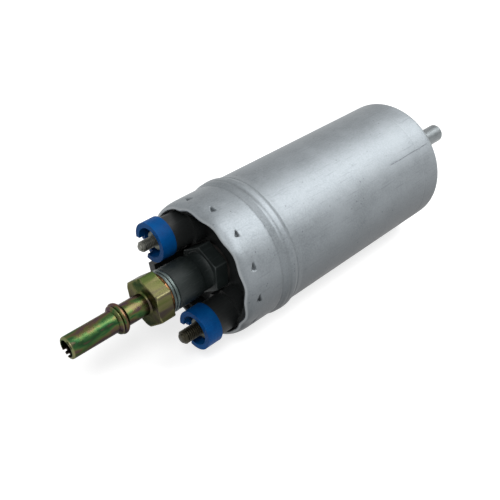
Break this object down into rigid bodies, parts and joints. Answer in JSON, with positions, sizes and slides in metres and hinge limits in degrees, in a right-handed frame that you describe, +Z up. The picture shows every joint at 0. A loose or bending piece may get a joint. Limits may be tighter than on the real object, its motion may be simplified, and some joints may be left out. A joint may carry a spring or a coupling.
{
  "type": "electric fuel pump",
  "caption": "Inline electric fuel pump: crimped aluminium can with a band clamp zone, tube inlet, screwed outlet line with check valve, and two cupped terminal studs.",
  "frame": {"origin": "on the pump's axis, at the middle of the plain stretch of the can that the band clamp grips", "axes": "+X along the axis towards the inlet tube, -X towards the outlet tube, +Z up, with the pump lying as pictured"},
  "size_m": [0.2026, 0.0538, 0.0538],
  "materials": {
    "can_aluminium": "satin, drawn and lightly mottled",
    "tube_aluminium": "satin",
    "cover_plastic": "moulded, fine matt",
    "cup_plastic": "moulded, satin",
    "guide_plastic": "moulded natural resin",
    "strainer_plastic": "moulded natural resin",
    "hub_resin": "pressed phenolic",
    "fibre": "vulcanised fibre",
    "insulating_fibre": "varnished fibre",
    "yellow_zinc": "yellow zinc plating, iridescent",
    "blackened_steel": "blackened, satin",
    "stud_plating_light": "yellow zinc plating, worn",
    "stud_plating_dark": "yellow zinc plating, dark",
    "nut_plating": "yellow zinc plating, pale",
    "washer_metal": "dull plated",
    "brass": "bare",
    "copper": "turned copper",
    "wire_enamel": "varnished copper wire",
    "ground_steel": "ground",
    "spring_steel": "drawn wire",
    "lamination_steel": "stacked sheet",
    "plated_steel": "plain",
    "sintered_iron": "sintered, ground faces",
    "sintered_bronze": "sintered, oiled",
    "cast_aluminium": "die cast, faced",
    "ferrite": "ground ferrite",
    "carbon": "pressed carbon",
    "rubber_black": "moulded"
  },
  "bodies": {
    "pump_body": {"casing": "can_aluminium", "inlet_tube": "tube_aluminium", "inlet_strainer": "strainer_plastic", "rear_o_ring": "rubber_black", "front_o_ring": "rubber_black", "outlet_cover": "cover_plastic", "terminal_cup_thin": "cup_plastic", "terminal_cup_thick": "cup_plastic", "terminal_stud_thin": "stud_plating_light", "terminal_stud_thick": "stud_plating_dark", "terminal_nut_thin": "nut_plating", "terminal_nut_thick": "nut_plating", "terminal_washer_thin": "nut_plating", "terminal_washer_thick": "nut_plating", "stud_seal_thin": "rubber_black", "stud_seal_thick": "rubber_black", "terminal_strip_thin": "brass", "terminal_strip_thick": "brass", "check_valve_body": "blackened_steel", "valve_gasket": "fibre", "valve_guide": "brass", "valve_spring": "spring_steel", "sealing_washer_front": "washer_metal", "sealing_washer_rear": "washer_metal", "outlet_fitting": "yellow_zinc", "outlet_tube": "yellow_zinc", "front_bush": "sintered_bronze", "brush_plate": "guide_plastic", "brush_guide_upper": "brass", "brush_guide_lower": "brass", "brush_spring_upper": "spring_steel", "brush_spring_lower": "spring_steel", "flux_ring": "plated_steel", "magnet_upper": "ferrite", "magnet_lower": "ferrite", "magnet_clips": "spring_steel", "rear_bush": "sintered_bronze", "pump_outlet_plate": "cast_aluminium", "gerotor_ring": "sintered_iron", "pump_inlet_plate": "cast_aluminium", "pump_screws": "plated_steel", "relief_spring": "spring_steel", "relief_plug": "brass"},
    "armature": {"shaft": "ground_steel", "commutator_hub": "hub_resin", "commutator": "copper", "insulator_front": "insulating_fibre", "insulator_rear": "insulating_fibre", "lamination_stack": "lamination_steel", "windings": "wire_enamel", "thrust_washer_front": "fibre", "thrust_washer_rear": "fibre", "inner_rotor": "sintered_iron", "drive_key": "ground_steel"},
    "outer_rotor": {"outer_rotor": "sintered_iron"},
    "check_poppet": {"valve_poppet": "ground_steel", "valve_seal": "rubber_black"},
    "relief_ball": {"relief_ball": "ground_steel"},
    "brush_upper": {"brush_upper": "carbon"},
    "brush_lower": {"brush_lower": "carbon"}
  },
  "joints": [
    {"name": "armature_spin", "type": "hinge", "parent": "pump_body", "child": "armature", "pos_m": [0, 0, 0], "axis": [1, 0, 0], "continuous": true},
    {"name": "outer_rotor_spin", "type": "hinge", "parent": "pump_body", "child": "outer_rotor", "pos_m": [0.02625, -0.00098, 0.00085], "axis": [1, 0, 0], "continuous": true},
    {"name": "check_valve", "type": "slide", "parent": "pump_body", "child": "check_poppet", "axis": [-1, 0, 0], "range_m": [0, 0.003], "stiffness_N_per_m": 300, "springref_m": -0.004, "deforming": ["valve_spring"]},
    {"name": "relief_valve", "type": "slide", "parent": "pump_body", "child": "relief_ball", "axis": [1, 0, 0], "range_m": [0, 0.002], "stiffness_N_per_m": 600, "springref_m": -0.003, "deforming": ["relief_spring"]},
    {"name": "brush_upper_slide", "type": "slide", "parent": "pump_body", "child": "brush_upper", "axis": [0, 0.6561, 0.7547], "range_m": [0, 0.002], "stiffness_N_per_m": 250, "springref_m": -0.004, "deforming": ["brush_spring_upper"]},
    {"name": "brush_lower_slide", "type": "slide", "parent": "pump_body", "child": "brush_lower", "axis": [0, -0.6561, -0.7547], "range_m": [0, 0.002], "stiffness_N_per_m": 250, "springref_m": -0.004, "deforming": ["brush_spring_lower"]}
  ],
  "couplings": [
    {"joint": "outer_rotor_spin", "follows": "armature_spin", "ratio": 0.85714}
  ]
}
